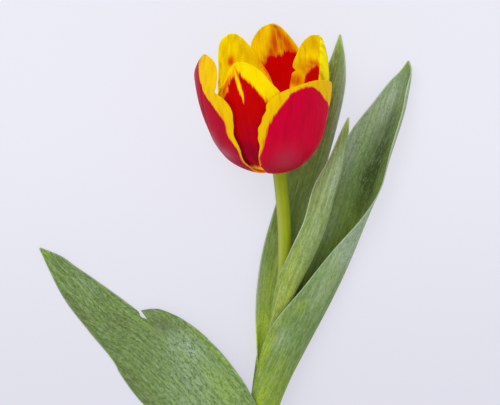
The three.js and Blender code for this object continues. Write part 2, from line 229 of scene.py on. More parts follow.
# %% [markdown]
# ## The cup of tepals
#
# A tulip's six tepals stand in two rings of three, the inner ring turned by a
# sixth. Each is a patch of one shared cup: its height and distance come from the
# cup's section, and only its turn and its two margins are its own. Sculpting would
# also work, but patches keep the overlaps clean.
# %% Tepal surface
CUP_SECTION = [
    [0, 4], [2, 11.5], [7, 18.5], [14, 23.1], [22.5, 25.9],
    [31, 28], [39.5, 29], [48, 29], [56.5, 28], [65, 26.2],
]
RING_STEP, FOOT_REACH, FOOT_ZONE = 1.6, 0.45, 9
TIP_HALF_WIDTH = 0.35
TEPAL_THICKNESS = 0.7
CUP_LENGTH = 75.0
TEPAL_GRID = (150, 91)
CREASE_DEPTH, CREASE_WIDTH = 0.55, 0.07
RIB_HEIGHT, RIBS, RUFFLES = 0.05, 11, 2.6
WAVERS, SCALLOP_WAVES = [(0.012, 17, 1), (0.008, 41, 2)], 64
BODY_STARTS, SCALLOPS_START, TUCK_STARTS = (0.08, 0.3), (0.4, 0.8), (0.62, 0.76)


def cup_points(reach, inset):
    """The cup's section, moved inwards along its own normal by inset."""
    here = smooth(CUP_SECTION, reach)
    slope = heading(CUP_SECTION, reach)
    foot = inset / RING_STEP * FOOT_REACH * np.maximum(0, 1 - FOOT_ZONE * reach)
    return here[..., 0] + inset * slope[..., 1], here[..., 1] - inset * slope[..., 0] - foot


def tepal_sheet(tepal, rows, columns):
    """The middle surface, with u from -1 to 1 and v from 0 at the foot to 1 at the tip.

    Rows lie closer together towards the tip. turn = middle(v) + u * spread(v) *
    closing(v), where closing falls to nothing at the tip as the square root of
    1 - v^blunt. The margins waver, with fine scallops towards the tip, and a nick is
    a short dip in the one at u = 1. The distance adds a lean out of the cup, a crease
    along the midrib, ribs beside it and a slow ruffle at the margins. A tuck draws
    the margin at u = -1 inwards near the tip.
    """
    t = np.linspace(0, 1, rows)[:, None]
    u = np.linspace(-1, 1, columns)[None, :]
    v = 0.35 * t + 0.65 * np.sin(math.pi / 2 * t ** 0.9)
    closing = np.sqrt(np.maximum(0, 1 - v ** tepal["blunt"]))
    reach = v * tepal["reach"]
    height, distance = cup_points(reach, RING_STEP if tepal["ring"] == "inner" else 0.0)
    shift = CUP_SHIFT * (1 - np.exp(-CUP_SHIFT_RATE * reach))
    place, length, depth = tepal["nick"]
    nick = depth * bump(v, place, length)
    spread = np.where(u < 0, curve(tepal["minus"], v), curve(tepal["plus"], v) - nick) * closing
    start, end = tepal["turn"]
    phase = tepal["phase"]
    waver = sum(size * np.sin(waves * v + turns * phase) for size, waves, turns in WAVERS)
    waver = waver + tepal["scallop"] * ramp(v, *SCALLOPS_START) * np.sin(SCALLOP_WAVES * v + 3 * phase)
    spread = spread * (1 + waver * np.abs(u) ** 3)
    turn = np.radians(start + (end - start) * v + u * spread) + u * v * TIP_HALF_WIDTH / distance
    body = ramp(v, *BODY_STARTS)
    crease = CREASE_DEPTH * bump(u, 0, CREASE_WIDTH) * body * (1 - 0.5 * v)
    ribs = RIB_HEIGHT * np.cos(2 * math.pi * RIBS * u) * body * closing
    ruffle = tepal["ruffle"] * np.abs(u) ** 4 * np.sin(2 * math.pi * RUFFLES * v + phase) * body
    tuck = tepal["tuck"] * ramp(v, *TUCK_STARTS) * closing * np.clip((-u - 0.5) / 0.5, 0, 1) ** 1.5
    distance = distance + tepal["lean"] * v ** 1.5 - crease + ribs + ruffle - tuck
    grid = flower_points(height, distance, turn, shift)
    return grid, u + 0 * v, v + 0 * u, np.radians(spread) * distance


print("widest radius of the cup:", max(row[1] for row in CUP_SECTION), "mm")

# %% [markdown]
# ## Where the red flame lies
#
# Colour that follows a petal has to know where on it a point is. An image painted
# on its UV map could say so, but two lines along the tepal take far fewer numbers.
# The mesh keeps how far inside them each point is, and some soft spots for its
# single marks and for painted sheen and painted shade.
# %% Flame and spots
STREAK_SHARPNESS = 2


def spots(listed, u, v):
    """The largest of several soft hills at each point.

    A hill is its centre's u and v, its widths along u and v and, if it isn't 1, its
    height. It is the product of a hill along u and one along v.
    """
    hills = [(*share, 1.0)[0] * bump(u, cu, wu) * bump(v, cv, wv) for cu, cv, wu, wv, *share in listed]
    return np.max(hills, axis=0) if hills else np.zeros_like(u * v)


def tepal_fields(tepal, u, v, half_width):
    """How far inside the red flame a point lies, in millimetres, and the soft spots.

    The flame runs between two lines, left(v) and right(v), given as shares of the
    half-width; where the left one passes the right one there is no flame. A line
    top(u) can end it, and a gold streak can split it along its middle.
    """
    left, right = curve(tepal["flame_left"], v), curve(tepal["flame_right"], v)
    inside = np.minimum(u - left, right - u) * np.maximum(half_width, 1.0)
    if "flame_top" in tepal:
        top = curve(tepal["flame_top"], (u + 1) / 2)
        inside = np.minimum(inside, (top - v) * tepal["reach"] * CUP_LENGTH)
    if "streak_centre" in tepal:
        centre, width = curve(tepal["streak_centre"], v), curve(tepal["streak_width"], v)
        inside = np.minimum(inside, (np.abs(u - centre) - width) * half_width * STREAK_SHARPNESS)
    fields = {"inside": inside, "along": v}
    fields |= {key: spots(tepal.get(key, []), u, v) for key in ("painted_sheen_and_shade", "warm", "ember", "tan", "rusty")}
    return {key: (values, values) for key, values in fields.items()}


# %% [markdown]
# ## Six tepals with their own numbers
#
# No two tepals of a real flower close alike: one lies back and shows its gold
# edge, one rolls its margin in. Each is a row of numbers: its turn at the foot and
# at the tip, how far up the cup it reaches, its two margins, and where its red
# flame begins and ends across its width.
# %% Tepal numbers
TEPAL_DEFAULTS = {"lean": 0.0, "blunt": 10, "ruffle": 0.3, "tuck": 0.0, "nick": (0.5, 0.01, 0.0)}
TEPALS = {
    "tepal_outer_front_right": {
        "ring": "outer", "turn": (42, 38.5), "scallop": 0.014, "reach": 0.742, "lean": -0.3, "blunt": 12,
        "minus": [52, 53.6, 54.7, 55.1, 54.2, 50.4, 50.6, 48.6, 42.8, 44.3, 47.4],
        "plus": [50.1, 51.5, 52.9, 54.4, 55.6, 56.4, 56.4, 54.7, 52, 46.3, 34.3],
        "phase": 0.4, "ruffle": 0.35,
        "flame_left": [-1.3, -1.2, -1.05, -1, -0.985, -0.945, -0.86, -0.815, -0.78, -0.61, -0.5],
        "flame_right": [1.3, 1.3, 1.2, 1.05, 1, 0.96, 0.86, 0.7, 0.46, 0.31, 0.15],
        "flame_top": [0.9, 0.9, 0.94, 0.964, 0.972, 0.97, 0.952, 0.865, 0.75, 0.69, 0.65],
        # Painted sheen: a grey-mauve sheen low on the outer face, partly its mauve flush.
        "painted_sheen_and_shade": [(-0.45, 0.38, 0.3, 0.13)],
    },
    "tepal_outer_back": {
        "ring": "outer", "turn": (166, 168.4), "scallop": 0.004, "reach": 0.913,
        "minus": [50, 52.3, 54.1, 54.8, 54.1, 52.1, 47.5, 37.9, 27.2, 20.3, 14.6],
        "plus": [50, 52.3, 54.1, 54.8, 53.8, 50.7, 44.9, 34.5, 25, 24, 21.7],
        "phase": 2.1,
        "flame_left": [-1.3, -1.3, -1.2, -1, -0.9, -0.88, -0.88, -0.88, -0.86, -0.8, -0.6],
        "flame_right": [1.3, 1.2, 1.1, 1, 0.9, 0.8, 0.65, 0.42, 0.24, 0.1, 0],
        "flame_top": [0.8, 0.805, 0.812, 0.812, 0.79, 0.79, 0.785, 0.76, 0.7, 0.65, 0.6],
        "warm": [
            (-0.6, 0.85, 0.3, 0.12), (-0.35, 0.93, 0.3, 0.07), (0, 0.87, 0.2, 0.12),
            (0.15, 0.8, 0.2, 0.06), (-0.28, 0.86, 0.14, 0.1, 0.8),
        ],
        "ember": [(-0.7, 0.8, 0.12, 0.04, 0.4), (0.08, 0.84, 0.12, 0.08, 0.3), (-0.5, 0.88, 0.08, 0.08, 0.2)],
        "rusty": [(-0.35, 0.985, 0.25, 0.012)],
    },
    "tepal_outer_left": {
        "ring": "outer", "turn": (-84, -59.2), "scallop": 0.01, "reach": 0.914, "lean": 1.1,
        "minus": [50, 50, 50, 48, 46.2, 44.7, 41.3, 35.7, 26.9, 18.5, 12],
        "plus": [46.5, 50, 50, 43, 42.2, 37.5, 37.3, 34.9, 21.4, 22.6, 26],
        "phase": 1.2, "nick": (0.787, 0.02, 3.8),
        "flame_left": [-1.3, -1.3, -1.2, -1, -0.92, -0.9, -0.9, -0.92, -1, -1.2, -1.3],
        "flame_right": [0.8, 0.9, 0.93, 0.94, 0.92, 0.79, 0.72, 0.42, -0.03, -0.48, -1.3],
        # Painted sheen: a grey-mauve sheen along the left silhouette and low on the face.
        "painted_sheen_and_shade": [(-0.75, 0.55, 0.35, 0.35, 0.9), (-0.05, 0.38, 0.32, 0.08, 1.5), (0.4, 0.35, 0.3, 0.05, 1)],
    },
    "tepal_inner_front": {
        "ring": "inner", "turn": (-15, -22.4), "scallop": 0.005, "reach": 0.898,
        "minus": [47.9, 48.1, 47.8, 46.4, 44.3, 42, 39, 33.5, 26.4, 17.9, 15.8],
        "plus": [50, 50, 50, 50.4, 49.8, 47.1, 43.2, 39.1, 34.7, 27.3, 25.1],
        "phase": 4,
        "flame_left": [-1.3, -1.3, -1.2, -1.1, -1, -0.95, -0.9, -0.76, -0.6, -0.52, 0.1],
        "flame_right": [1.3, 1.3, 1.2, 1, 0.9, 0.82, 0.72, 0.6, 0.45, 0.1, -1],
        "streak_centre": [-0.03] * 8 + [-0.06, -0.27, -0.75],
        "streak_width": [-0.5] * 5 + [-0.4, -0.3, -0.04, 0.06, 0.12, 0.2],
        # Painted shade: darker purple low on the tepal.
        "painted_sheen_and_shade": [(-0.1, 0.4, 0.4, 0.1, 0.8), (0.05, 0.52, 0.35, 0.08, 0.35)],
        "warm": [(-0.78, 0.86, 0.14, 0.06), (-0.62, 0.93, 0.1, 0.04, 0.6)],
        "ember": [(-0.76, 0.805, 0.1, 0.05, 0.9)],
        "rusty": [(-0.93, 0.8, 0.05, 0.03), (-0.88, 0.76, 0.04, 0.02)],
    },
    "tepal_inner_left": {
        "ring": "inner", "turn": (220, 210.9), "scallop": 0.005, "reach": 0.89,
        "minus": [50, 50, 50, 50.4, 50, 47.8, 43.9, 38, 30.2, 23.6, 17.9],
        "plus": [50.2, 48.5, 45.9, 41.2, 34.7, 26.3, 18.8, 15.6, 13.7, 15, 20.5],
        "phase": 5.2,
        "flame_left": [-1.3, -1.2, -1, -0.85, -0.7, -0.5, -0.2, 0.2, 0.5, 0.6, 0.7],
        "flame_right": [1.3, 1.2, 1, 0.85, 0.7, 0.5, 0.2, -0.2, -0.5, -0.6, -0.7],
        "ember": [(-0.02, 0.805, 0.1, 0.025, 0.8)], "warm": [(0, 0.815, 0.22, 0.04), (-1, 0.7, 0.1, 0.1)],
        "tan": [(-0.8, 0.8, 0.3, 0.12)],
        "rusty": [(0.86, 0.63, 0.05, 0.03), (0.55, 0.68, 0.04, 0.03, 0.7), (0.95, 0.7, 0.04, 0.02, 0.7)],
    },
    "tepal_inner_right": {
        "ring": "inner", "turn": (100, 110.5), "scallop": 0.004, "reach": 0.891, "lean": 0.5,
        "minus": [42, 42, 42, 42, 41.5, 40.5, 38.5, 37, 35.5, 33, 31],
        "plus": [48.3, 48.9, 49.1, 48.9, 48.5, 48.3, 48, 45, 41.8, 38.2, 35],
        "phase": 0.9, "tuck": 4, "nick": (0.713, 0.012, 3.4),
        "flame_left": [-1.3, -1.2, -1, -0.8, -0.5, -0.3, -0.1, 0, 0.1, 0.2, 0.3],
        "flame_right": [1.3, 1.2, 1, 0.9, 0.8, 0.72, 0.66, 0.64, 0.6, 0.5, 0.4],
        "flame_top": [0.76, 0.76, 0.76, 0.77, 0.775, 0.78, 0.78, 0.765, 0.72, 0.66, 0.6],
        "warm": [
            (0.9, 0.65, 0.3, 0.06), (0.4, 0.785, 0.3, 0.03),
            (0.7, 0.72, 0.15, 0.05, 0.7), (0.56, 0.755, 0.15, 0.02),
        ],
        "tan": [(0.5, 0.93, 0.4, 0.08), (0.85, 0.75, 0.25, 0.05)],
        "ember": [(0.8, 0.635, 0.2, 0.025, 0.3)],
        "rusty": [(-0.52, 0.9, 0.05, 0.12, 0.8)],
    },
}


def build_tepal(name):
    """One tepal as a shell.

    Its thickness is TEPAL_THICKNESS * (1 - 0.6 |u|^6) * (1 - 0.3 v^8), so it thins to
    the margins and the tip.
    """
    tepal = TEPAL_DEFAULTS | TEPALS[name]
    grid, u, v, half_width = tepal_sheet(tepal, *TEPAL_GRID)
    thickness = TEPAL_THICKNESS * (1 - 0.6 * np.abs(u) ** 6) * (1 - 0.3 * v ** 8)
    uv = np.stack([u * half_width / 10, v * tepal["reach"] * CUP_LENGTH / 10], -1)
    fields = tepal_fields(tepal, u, v, half_width)
    piece = sheet_object(f"dressed_{name}", grid, normals_of(grid), thickness, fields, uv)
    return stand_in(piece, name)


TEPAL_PIECES = {name: build_tepal(name) for name in TEPALS}
print_sizes(TEPAL_PIECES)

# %% [markdown]
# ## Small helpers for materials
#
# A node material can be wired by hand in the editor. In code, a class with one
# short method for each kind of node keeps a recipe short enough to read from top
# to bottom.
# %% Colours and nodes


def paint(red, green, blue):
    """Screen colour from 0 to 255 as the linear colour that a shader takes."""
    s = np.array([red, green, blue]) / 255
    linear = np.where(s <= 0.04045, s / 12.92, ((s + 0.055) / 1.055) ** 2.4)
    return (*(float(v) for v in linear), 1.0)


class Recipe:
    """A new material and its nodes, with one short method for each kind of step."""

    def __init__(self, name, roughness, specular):
        self.material = bpy.data.materials.new(name)
        self.material.use_nodes = True
        self.tree = self.material.node_tree
        self.shader = self.tree.nodes["Principled BSDF"]
        self.shader.inputs["Roughness"].default_value = roughness
        self.shader.inputs["Specular IOR Level"].default_value = specular

    def plug(self, value, socket):
        """A node's result is linked to the socket, and a plain value is set on it."""
        if isinstance(value, bpy.types.NodeSocket):
            self.tree.links.new(value, socket)
        else:
            socket.default_value = value

    def add(self, kind, inputs, **settings):
        """One node with its settings and its inputs."""
        node = self.tree.nodes.new(kind)
        for key, value in settings.items():
            setattr(node, key, value)
        for key, value in inputs.items():
            self.plug(value, node.inputs[key])
        return node

    def maths(self, operation, a, b, clamp=False):
        """One Math node's result."""
        return self.add("ShaderNodeMath", {0: a, 1: b}, operation=operation, use_clamp=clamp).outputs[0]

    def plus(self, a, b, clamp=False):
        """a + b."""
        return self.maths("ADD", a, b, clamp)

    def minus(self, a, b):
        """a - b."""
        return self.maths("SUBTRACT", a, b)

    def times(self, a, b, clamp=False):
        """a * b."""
        return self.maths("MULTIPLY", a, b, clamp)

    def field(self, name):
        """A number kept on the mesh."""
        return self.add("ShaderNodeAttribute", {}, attribute_name=name).outputs["Fac"]

    def blend(self, factor, a, b):
        """a * (1 - factor) + b * factor, for two colours."""
        inputs = {"Factor": factor, "A": a, "B": b}
        return self.add("ShaderNodeMix", inputs, data_type="RGBA", blend_type="MIX").outputs["Result"]

    def step_up(self, value, low, high):
        """0 below low, 1 above high, smooth between; the other way round if high is lower."""
        inputs = {"Value": value, "From Min": low, "From Max": high}
        return self.add("ShaderNodeMapRange", inputs, interpolation_type="SMOOTHSTEP").outputs["Result"]

    def blade(self, axis=None):
        """Place on the UV map in centimetres, or only its X or Y."""
        uv = self.add("ShaderNodeUVMap", {}, uv_map="blade").outputs["UV"]
        return self.add("ShaderNodeSeparateXYZ", {"Vector": uv}).outputs[axis] if axis else uv

    def height_y(self):
        """The Y of a point in the object's own metres."""
        place = self.add("ShaderNodeTexCoord", {}).outputs["Object"]
        return self.add("ShaderNodeSeparateXYZ", {"Vector": place}).outputs["Y"]

    def streaks(self, across, along, detail=3.0, distortion=0.0, shift=0.0):
        """Noise drawn out along the blade: so many waves per centimetre each way."""
        inputs = {"Vector": self.blade(), "Location": (shift, shift, 0), "Scale": (across, along, 1)}
        place = self.add("ShaderNodeMapping", inputs).outputs["Vector"]
        inputs = {"Vector": place, "Scale": 1.0, "Detail": detail, "Distortion": distortion}
        return self.add("ShaderNodeTexNoise", inputs).outputs["Fac"]

    def finish(self, colour, height, strength, depth=0.0002):
        """Colour and bump go to the shader; the finished material comes back."""
        self.plug(colour, self.shader.inputs["Base Color"])
        relief = self.add("ShaderNodeBump", {"Height": height, "Strength": strength, "Distance": depth})
        self.plug(relief.outputs["Normal"], self.shader.inputs["Normal"])
        return self.material


# %% [markdown]
# ## Red flame, gold margin
#
# A red flame runs up each tepal and frays into gold at the edge, as if brushed
# with a dry brush. An image could be painted for it, but the mesh knows how far
# inside the flame each point lies. Noise drawn out along the tepal is added to
# that distance before it is turned into colour, and that frays the edge.
# %% Tepal finish
# Per tepal: feather, painted glow, how far up the golden foot goes, and the tones red,
# deep red, the red near the foot, painted sheen and shade, orange, gold and tan.
TEPAL_TONES = {
    "tepal_outer_front_right": (
        0.8, 0.0, 0.06, (214, 0, 50), (188, 0, 40), (164, 0, 32), (180, 56, 76),
        (236, 100, 0), (244, 198, 0), (232, 176, 0),
    ),
    "tepal_outer_back": (
        1.7, 0.2, 0.14, (192, 0, 0), (176, 0, 4), (160, 0, 10), (160, 40, 30),
        (200, 90, 4), (240, 207, 2), (215, 158, 4),
    ),
    "tepal_outer_left": (
        0.8, 0.06, 0.14, (184, 8, 44), (160, 6, 40), (170, 20, 52), (184, 104, 124),
        (236, 106, 4), (244, 200, 2), (228, 170, 4),
    ),
    "tepal_inner_front": (
        1.3, 0.35, 0.27, (199, 0, 0), (174, 0, 4), (160, 0, 20), (122, 0, 52),
        (240, 120, 0), (252, 222, 0), (244, 202, 0),
    ),
    "tepal_inner_left": (
        1.0, 0.22, 0.14, (208, 40, 0), (196, 30, 0), (180, 30, 6), (180, 60, 10),
        (230, 120, 0), (248, 234, 2), (218, 180, 4),
    ),
    "tepal_inner_right": (
        1.5, 0.18, 0.14, (190, 2, 0), (178, 0, 0), (170, 4, 4), (170, 60, 10),
        (209, 112, 4), (252, 236, 0), (206, 167, 4),
    ),
}


FRAY, PAINTED_SHEEN_AND_SHADE_SHARE, RUST_SHARE = 2.4, 0.65, 0.8
FOOT_GOLD, RUST_BROWN, BLACK = (240, 166, 10), (120, 56, 14), (0.0, 0.0, 0.0, 1.0)


def tepal_material(name, feather, glow, foot_line, *tones):
    """Flame distance plus drawn-out noise, turned into gold, orange and red.

    The frayed edge is where inside + FRAY * feather * (fine + broad - 1) nears 0. The
    inner face, and the foot of both, get a painted glow of their own colour: emission
    that stands in for light passing through the thin petal and lifts the shaded foot.
    """
    mix = Recipe(f"finish_{name}", 0.5, 0.03)
    red, deep_and_painted_shade, low, painted_sheen_and_shade, orange, gold, tan = (paint(*tone) for tone in tones)
    along = mix.field("along")
    fine = mix.streaks(14.0, 1.1)
    broad = mix.streaks(4.0, 0.8, detail=2, shift=4.0)
    brush = mix.plus(mix.minus(fine, 0.5), mix.minus(broad, 0.5))
    edge = mix.plus(mix.times(brush, FRAY * feather), mix.field("inside"))
    rim = mix.blend(mix.step_up(broad, 0.4, 0.75), gold, tan)
    rim = mix.blend(mix.times(mix.field("tan"), 0.8), rim, tan)
    rim = mix.blend(mix.step_up(edge, -1.1 * feather, 0.1), rim, orange)
    for key, least, hue in (("warm", 0.55, orange), ("ember", 0.5, red)):
        rim = mix.blend(mix.times(mix.field(key), mix.plus(fine, least), clamp=True), rim, hue)
    flame = mix.blend(mix.step_up(along, 0.15, 0.55), low, red)
    flame = mix.blend(mix.times(mix.step_up(broad, 0.4, 0.7), 0.5), flame, deep_and_painted_shade)
    flame = mix.blend(mix.times(mix.step_up(fine, 0.5, 0.75), 0.2), flame, deep_and_painted_shade)
    colour = mix.blend(mix.step_up(edge, -0.15, 0.35), rim, flame)
    # Painted sheen and shade: grey-mauve sheen on the outer tepals, darker purple low on the inner front one.
    colour = mix.blend(mix.times(mix.field("painted_sheen_and_shade"), PAINTED_SHEEN_AND_SHADE_SHARE), colour, painted_sheen_and_shade)
    height = mix.plus(mix.times(fine, 0.06), along)
    foot = mix.minus(1.0, mix.step_up(height, foot_line - 0.06, foot_line + 0.02))
    colour = mix.blend(foot, colour, paint(*FOOT_GOLD))
    colour = mix.blend(mix.times(mix.field("rusty"), RUST_SHARE), colour, paint(*RUST_BROWN))
    # Painted glow: the inner face and the foot emit their own colour, in place of light through the petal and
    # light in the shaded foot.
    painted_glow_share = mix.plus(mix.minus(1.0, mix.field("face")), foot, clamp=True)
    mix.plug(mix.blend(painted_glow_share, BLACK, colour), mix.shader.inputs["Emission Color"])
    mix.shader.inputs["Emission Strength"].default_value = glow
    return mix.finish(colour, broad, 0.15, depth=0.0004)


for name, piece in TEPAL_PIECES.items():
    piece.data.materials.append(tepal_material(name, *TEPAL_TONES[name]))
print("tepal finishes:", len(TEPAL_TONES))

# %% [markdown]
# ## Leaves that fold, cup and lie flat
#
# A tulip leaf is a long blade without a stalk, whose base clasps the stem. A cloth
# simulation could drape it, but its folds are few and clear. So each leaf is a
# midrib curve with two half-blades. Each leaves the midrib at its own lift angle
# and bends through its own curl angle, as an arc, on the way to its margin.
# %% Leaf surface
LEAF_THICKNESS, LEAF_TIP = 0.9, (0.93, 1.0)


def arc_chord(length, lift, curl):
    """Chord of an arc that starts at angle lift and bends through angle curl.

    A chord is length * sin(half) / half long and points along lift + half, where
    half is half the bend.
    """
    half = np.where(np.abs(curl) < 1e-6, 1e-6, curl) / 2
    chord = length * np.sin(half) / half
    return chord * np.cos(lift + half), chord * np.sin(lift + half)


def leaf_points(leaf, v, part):
    """The middle surface at v along the midrib and part of the half-width across.

    A point lies on its own half-blade's arc, whose chord is laid off sideways and
    upwards from the midrib. Where the blade is free of the stem, a slow wave lifts
    its margins and a crease follows the midrib. No point goes below the table.
    """
    station = smooth(leaf["stations"], v)
    along = heading([row[:3] for row in leaf["stations"]], v)
    across = unit(np.cross(along, [0, 0, 1.0]))
    up = np.cross(across, along)
    half = np.where((part < 0)[..., None], station[..., 3:6], station[..., 6:9])
    size, lift, curl = half[..., 0], np.radians(half[..., 1]), np.radians(half[..., 2])
    out, rise = arc_chord(np.abs(part) * size, lift, curl * np.abs(part))
    wave = leaf["wave"] * part ** 2 * np.sin(2 * math.pi * (leaf["waves"] * v + 0.21 * np.sign(part)))
    crease = leaf["keel"] * bump(part, 0, 0.05)
    rise = rise + (wave + crease) * ramp(v, *leaf["free"]) * (1 - ramp(v, *LEAF_TIP))
    points = station[..., :3] + (np.sign(part) * out)[..., None] * across + rise[..., None] * up
    points[..., 2] = np.maximum(points[..., 2], LEAF_THICKNESS / 2)
    return points


print("chord of a half-circle of length pi:", np.round(arc_chord(math.pi, 0.0, math.pi), 3))

# %% [markdown]
# ## A tear in the margin
#
# The lowest leaf is torn a little at its upper margin. A Boolean would cut it, but
# leave ragged faces. So the grid keeps its rows and columns, and only the place of
# the margin changes: wide up to the tear, and narrow beyond it.
# %% Torn margin
TEAR_ZONE, BITE_PLACE, BITE_LENGTH = 0.04, 0.016, 0.01


def tear_margin(leaf, u, v, right):
    """Margins of the half-blade beside a tear.

    Below the tear the blade is wide, and its outer part leans past the tear as a
    pointed lobe, whose inner edge is hollow. Above it the blade is narrow, with a
    bite out of its margin. There the outer columns gather at the tear's end, and
    spread again further on.
    """
    tear = leaf["tear"]
    end, start = tear["at"], tear["start"]
    low = v <= end
    wide = curve(tear["wide"], (v - start) / (end - start))
    bite = tear["bite"] * bump(v, end + BITE_PLACE, BITE_LENGTH)
    narrow = curve(tear["narrow"], (v - end) / (1 - end)) - bite
    right = np.where(v < start, right + tear["swell"] * bump(v, end, 0.2), np.where(low, wide, narrow))
    inner = tear["narrow"][0] / tear["wide"][-1]
    lean = tear["overhang"] * np.clip((v - tear["lobe"]) / (end - tear["lobe"]), 0, 1) ** 0.8
    v = v + np.where(low & (u > 0), lean * np.clip((u - inner) / (1 - inner), 0, 1) ** tear["hollow"], 0)
    gathered = np.minimum(u / inner, 1 - 0.002 * (1 - u))
    spread = np.clip((v - end) / TEAR_ZONE, 0, 1)
    u = np.where(low | (u < 0), u, spread * u + (1 - spread) * gathered)
    return u, v, right


# %% [markdown]
# ## The grid of a whole leaf
#
# A fold looks soft where its points are close and even. Subdivision would soften
# every edge alike, the tear's too. Here the rows crowd where the tear needs them,
# and only the columns next to the midrib are smoothed.
# %% Leaf grid


def leaf_sheet(leaf, rows, columns):
    """Grid, normals, the share across, the share along and the half-widths.

    Rows crowd towards a tear. The columns near the midrib are smoothed a few times,
    so that a fold is round: a point becomes (before + 2 * point + after) / 4.
    """
    v = np.linspace(0, 1, rows)[:, None]
    if "tear" in leaf:
        end = leaf["tear"]["at"]
        crowd = end - np.geomspace(1e-5, TEAR_ZONE, 40)[:, None]
        v = np.sort(np.concatenate([v, crowd, [[end + 2e-4]]]), axis=0)
    u = np.linspace(-1, 1, columns)[None, :] + 0 * v
    v = v + 0 * u
    station = smooth(leaf["stations"], v)
    width = np.where(u < 0, station[..., 3], station[..., 6])
    part, place, wide = u, v, width
    if "tear" in leaf:
        part, place, right = tear_margin(leaf, u, v, width)
        wide = np.where(u < 0, width, right)
        part = part * wide / width
    grid = leaf_points(leaf, place, part)
    for _ in range(leaf["soft"]):
        mixed = (grid[:, :-2] + 2 * grid[:, 1:-1] + grid[:, 2:]) / 4
        share = (bump(u, 0, 0.12) * ramp(v, *leaf["free"]))[:, 1:-1, None]
        grid[:, 1:-1] = grid[:, 1:-1] * (1 - share) + mixed * share
    normals = normals_of(leaf_points(leaf, v, u) if "tear" in leaf else grid)
    return grid, normals, part * width / wide, place, wide


def leaf_length(leaf):
    """Length of the midrib in millimetres."""
    path = smooth(leaf["stations"], np.linspace(0, 1, 200))[:, :3]
    return float(np.linalg.norm(np.diff(path, axis=0), axis=1).sum())


# %% [markdown]
# ## Four leaves
#
# The lowest leaf spreads out on the table and has a small tear in its upper
# margin. The large one is folded along its keel. The small one stands before it,
# and the tall one lies behind the stem and the flower. Each station holds the
# midrib's point, then width, lift and curl of the left half and of the right.
# %% Leaf numbers
LEAVES = {
    "leaf_lowest": {
        "grid": (300, 81), "free": (0.35, 0.55), "wave": 0.3, "waves": 3.3, "keel": -0.3, "soft": 0,
        "stations": [
            [11.75, -82, 9.95, 9, -34, -122, 13.4, 34, -178],
            [10.4, -67.5, 12.4, 9.6, -34, -96, 13.6, 38, -105],
            [3.6, -55.5, 12.5, 13.6, -18, -34, 17.3, 25, -33],
            [-8, -41, 8.2, 19.3, -12, -14, 20, 15, -14],
            [-22.5, -25, 4.6, 21.5, -8, -8, 18.9, 9, -12],
            [-37.5, -11, 2.2, 18, -4, -6, 12.5, 5, -10],
            [-53.5, -1, 0.7, 10.5, 0, -4, 10.2, 4, -8],
            [-68, 14, 0.4, 7.7, 0, -4, 7.3, 3, -6],
            [-83.5, 30, 1.2, 0.4, 0, 0, 0.4, 0, 0],
        ],
        "tear": {
            "at": 0.6438, "start": 0.5, "lobe": 0.6, "overhang": 0.0262, "swell": 2.9,
            "hollow": 3.6, "bite": 1.1,
            "wide": [20.9, 20.5, 20, 19.2, 18.2, 16.3, 11.23],
            "narrow": [8.92, 10.3, 10.8, 9.9, 8.1, 6.1, 4.4, 0.4],
        },
    },
    "leaf_large": {
        "grid": (340, 101), "free": (0.3, 0.45), "wave": 0.4, "waves": 4.1, "keel": 0, "soft": 30,
        "stations": [
            [18.5, -62.5, 4.6, 10.6, -45, 150, 11.7, 45, 165],
            [21.6, -40.5, 3.1, 12.2, -42, 97, 23.5, 45, 207],
            [35, -16.5, 1.4, 21, -6, 12, 27, 88, 112],
            [47.2, 6.5, 0.6, 17.3, 0, 15, 21.3, 86, 108],
            [56, 25.5, 0.4, 18.5, 0, 20, 16, 80, 100],
            [62.5, 44.5, 0.6, 18.6, 0, 20, 12.2, 65, 60],
            [66.5, 60.5, 1.4, 18.1, 0, 20, 10.2, 50, 35],
            [73.2, 76.5, 2.6, 18.3, 0, 20, 9.1, 50, 65],
            [78.6, 93, 3.4, 12.3, 0, 20, 7, 40, 88],
            [82, 105.5, 4, 6.9, 0, 20, 2.9, 30, 120],
            [82, 114, 4, 0.4, 0, 0, 0.4, 0, 0],
        ],
    },
    "leaf_small": {
        "grid": (240, 49), "free": (0.35, 0.55), "wave": 0.2, "waves": 3, "keel": -0.1, "soft": 4,
        "stations": [
            [24, -13, 10.2, 5, 52, -62, 3, -52, -44],
            [26.6, -1, 10.3, 6.9, 48, -62, 3.4, -50, -50],
            [30.5, 12.5, 12.2, 8.4, 30, -50, 5, -35, -75],
            [36, 26, 14, 8, 15, -40, 5.2, -20, -75],
            [41.5, 40, 15.5, 7.2, 12, -35, 5.2, -15, -70],
            [46, 54.5, 16.5, 7.6, 12, -35, 4.2, -20, -60],
            [50, 67.5, 17, 5, 12, -30, 3.4, -20, -60],
            [52.5, 79, 17, 2.6, 10, -30, 2.3, -20, -50],
            [54.5, 88, 17, 0.4, 0, 0, 0.4, 0, 0],
        ],
    },
    "leaf_tall": {
        "grid": (300, 49), "free": (0.4, 0.6), "wave": 0.25, "waves": 3.6, "keel": -0.1, "soft": 4,
        "stations": [
            [16.9, -42, 3.65, 6.4, 0, 86, 5.9, 0, 86],
            [19.6, -22.5, 3.75, 7.8, 0, 80, 6, 0, 80],
            [22, -4.5, 3.5, 9.7, 0, 52, 5.2, 0, 52],
            [23.2, 11, 3, 9.9, 0, 38, 5, 0, 40],
            [26, 27, 2.2, 10, 0, 30, 6, 0, 30],
            [30, 45, 1.6, 8.8, 0, 25, 8, 0, 25],
            [35.5, 64, 1.4, 8, 0, 20, 8.5, 0, 20],
            [41.5, 83, 1.4, 7.5, 0, 15, 8, 0, 20],
            [47, 102, 1.4, 5.2, 0, 10, 6.7, 0, 15],
            [50, 114.5, 1.4, 2.9, 0, 8, 3.9, 0, 10],
            [51.5, 126, 1.4, 0.4, 0, 0, 0.4, 0, 0],
        ],
    },
}
for name, leaf in LEAVES.items():
    print(name, "midrib", round(leaf_length(leaf), 1), "mm")
